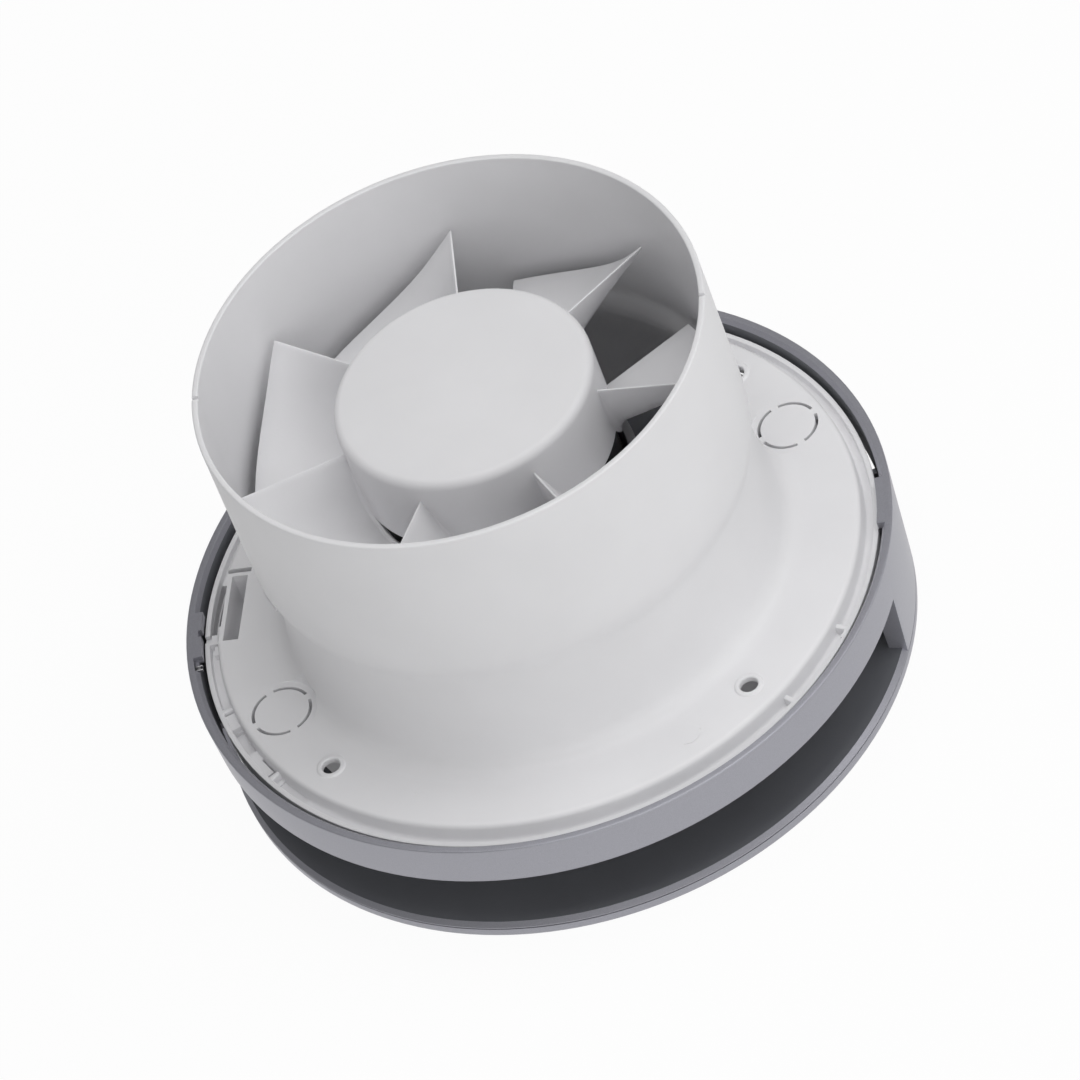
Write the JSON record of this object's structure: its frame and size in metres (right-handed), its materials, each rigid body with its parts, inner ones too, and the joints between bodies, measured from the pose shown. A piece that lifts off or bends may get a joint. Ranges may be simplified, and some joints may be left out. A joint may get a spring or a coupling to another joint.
{
  "type": "bathroom exhaust fan",
  "caption": "Round exhaust fan for a duct: spigot housing, motor on arms with a bladed impeller, and a flat-fronted push-on cover with side air gaps.",
  "frame": {"origin": "centre of the front panel's outer face, which is also the bottom centre of the bounding box: the fan stands on its front panel", "axes": "+Z along the fan's axis, from the room side towards the rim of the duct spigot; +X through the middle of one pillar of the cover"},
  "size_m": [0.1738, 0.1738, 0.111],
  "materials": {
    "white_plastic": "fine satin moulding",
    "silver_plastic": "silver-painted satin",
    "black_plastic": "satin",
    "circuit_board": "lacquered laminate",
    "blue_plastic": "satin",
    "brown_plastic": "satin",
    "rubber": "matt",
    "steel": "bright zinc or bare laminations",
    "copper": "enamelled winding wire",
    "bronze": "sintered",
    "brass": "bright"
  },
  "bodies": {
    "base": {"base_housing": "white_plastic", "motor_bracket": "white_plastic", "bracket_screw_1": "steel", "bracket_screw_2": "steel", "bracket_screw_3": "steel", "bracket_screw_4": "steel", "motor_case": "black_plastic", "motor_lid": "black_plastic", "stator_core": "steel", "stator_coil_1": "copper", "stator_coil_2": "copper", "stator_coil_3": "copper", "stator_coil_4": "copper", "rear_bush": "bronze", "front_bush": "bronze", "motor_damper_1": "rubber", "motor_damper_2": "rubber", "motor_damper_3": "rubber", "motor_screw_1": "steel", "motor_screw_2": "steel", "motor_screw_3": "steel", "control_board": "circuit_board", "board_screw_1": "steel", "board_screw_2": "steel", "run_capacitor": "blue_plastic", "terminal_block": "white_plastic", "terminal_screw_1": "brass", "terminal_screw_2": "brass", "terminal_screw_3": "brass", "cable_clamp": "white_plastic", "clamp_screw_1": "steel", "clamp_screw_2": "steel", "wiring_lid": "white_plastic", "lid_screw_1": "steel", "lid_screw_2": "steel", "motor_lead_live": "brown_plastic", "motor_lead_neutral": "blue_plastic", "supply_lead_live": "brown_plastic", "supply_lead_neutral": "blue_plastic"},
    "impeller_and_shaft": {"impeller": "white_plastic", "hub_collar": "steel", "motor_shaft": "steel", "rotor": "steel", "thrust_washer": "black_plastic"},
    "cover": {"cover_frame": "silver_plastic", "front_panel": "silver_plastic"}
  },
  "joints": [
    {"name": "impeller_spin", "type": "hinge", "parent": "base", "child": "impeller_and_shaft", "pos_m": [0, 0, 0.08], "axis": [0, 0, 1], "continuous": true},
    {"name": "cover_pull", "type": "slide", "parent": "base", "child": "cover", "axis": [0, 0, -1], "range_m": [0, 0.012]}
  ]
}
